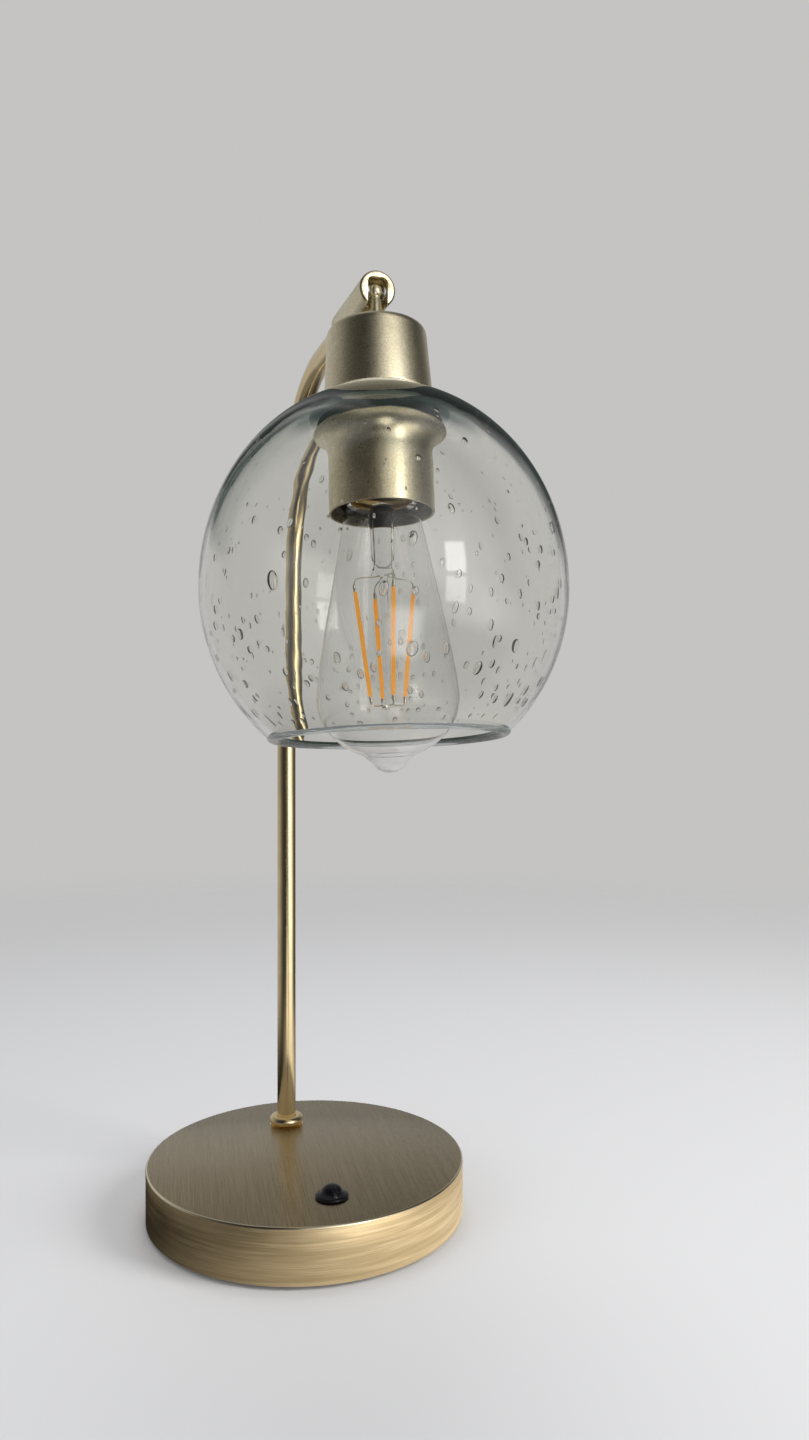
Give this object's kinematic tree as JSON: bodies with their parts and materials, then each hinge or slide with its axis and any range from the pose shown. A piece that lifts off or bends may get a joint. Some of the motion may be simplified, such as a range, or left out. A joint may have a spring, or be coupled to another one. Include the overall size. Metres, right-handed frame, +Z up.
{
  "type": "desk lamp",
  "caption": "Desk lamp: weighted round base with rotary switch, bent tube arm, and a clear glass shade on a tilting swivel with a clear filament bulb.",
  "frame": {"origin": "centre of the foot pad's underside, on the surface that the lamp stands on", "axes": "+Z up; the arm lies in the Y-Z plane with the shade towards -Y and the cord outlet towards +Y; +X to the right when the shade points at the viewer's near side"},
  "size_m": [0.16, 0.2879, 0.431],
  "materials": {
    "brushed_gold": "gold plated steel sheet, straight brushed on top and round the side",
    "polished_gold": "gold plated steel tube, polished",
    "satin_gold": "gold plated steel sheet, satin, finely speckled",
    "turned_brass": "turned and polished brass, lacquered",
    "plain_brass": "plain brass, satin",
    "iron": "rough cast, blackened",
    "zinc_steel": "zinc plated, satin",
    "nickel_steel": "nickel plated",
    "foot_rubber": "black foam rubber, matte",
    "gasket_rubber": "black rubber, matte",
    "phenolic": "moulded phenolic, dark brown",
    "black_plastic": "moulded, glossy black",
    "cream_plastic": "moulded, cream",
    "lead_jacket": "soft insulation, off-white",
    "seeded_glass": "clear blown glass with seed bubbles, fire polished rim",
    "bulb_glass": "thin clear blown glass",
    "filament_amber": "phosphor coated stick, amber, unlit"
  },
  "bodies": {
    "base": {"base_cover": "brushed_gold", "base_weight": "iron", "bottom_plate": "zinc_steel", "foot_pad": "foot_rubber", "plate_screws": "zinc_steel", "stem_collar": "turned_brass", "stem_nipple": "zinc_steel", "stem_lock_washer": "zinc_steel", "stem_nut": "zinc_steel", "arm_tube": "polished_gold", "arm_lead": "lead_jacket", "arm_sleeve": "turned_brass", "sleeve_set_screw": "zinc_steel", "pivot_pin": "zinc_steel", "pivot_washers": "zinc_steel", "switch_body": "phenolic", "switch_terminals": "plain_brass", "switch_nut": "zinc_steel", "cord_bushing": "black_plastic", "splice_caps": "cream_plastic", "base_wires": "lead_jacket"},
    "knob": {"switch_knob": "black_plastic", "switch_shaft": "zinc_steel"},
    "head": {"swivel_stud": "nickel_steel", "stud_nut": "zinc_steel", "holder_bracket": "zinc_steel", "socket_cap": "satin_gold", "cap_gasket": "gasket_rubber", "glass_shade": "seeded_glass", "shade_gasket": "gasket_rubber", "retaining_cup": "satin_gold", "lampholder_body": "phenolic", "holder_screws": "zinc_steel", "terminal_screws": "plain_brass", "holder_contact": "plain_brass", "holder_shell": "plain_brass", "head_leads": "lead_jacket", "bulb_shell": "plain_brass", "bulb_insulator": "phenolic", "bulb_contact": "zinc_steel", "bulb_glass": "bulb_glass", "bulb_mount": "bulb_glass", "filament_supports": "nickel_steel", "led_filaments": "filament_amber"}
  },
  "joints": [
    {"name": "head_tilt", "type": "hinge", "parent": "base", "child": "head", "pos_m": [0, -0.121, 0.4235], "axis": [-1, 0, 0], "range_deg": [-30, 84]},
    {"name": "switch_turn", "type": "hinge", "parent": "base", "child": "knob", "pos_m": [0, -0.052, 0.0274], "axis": [0, 0, 1], "continuous": true}
  ]
}
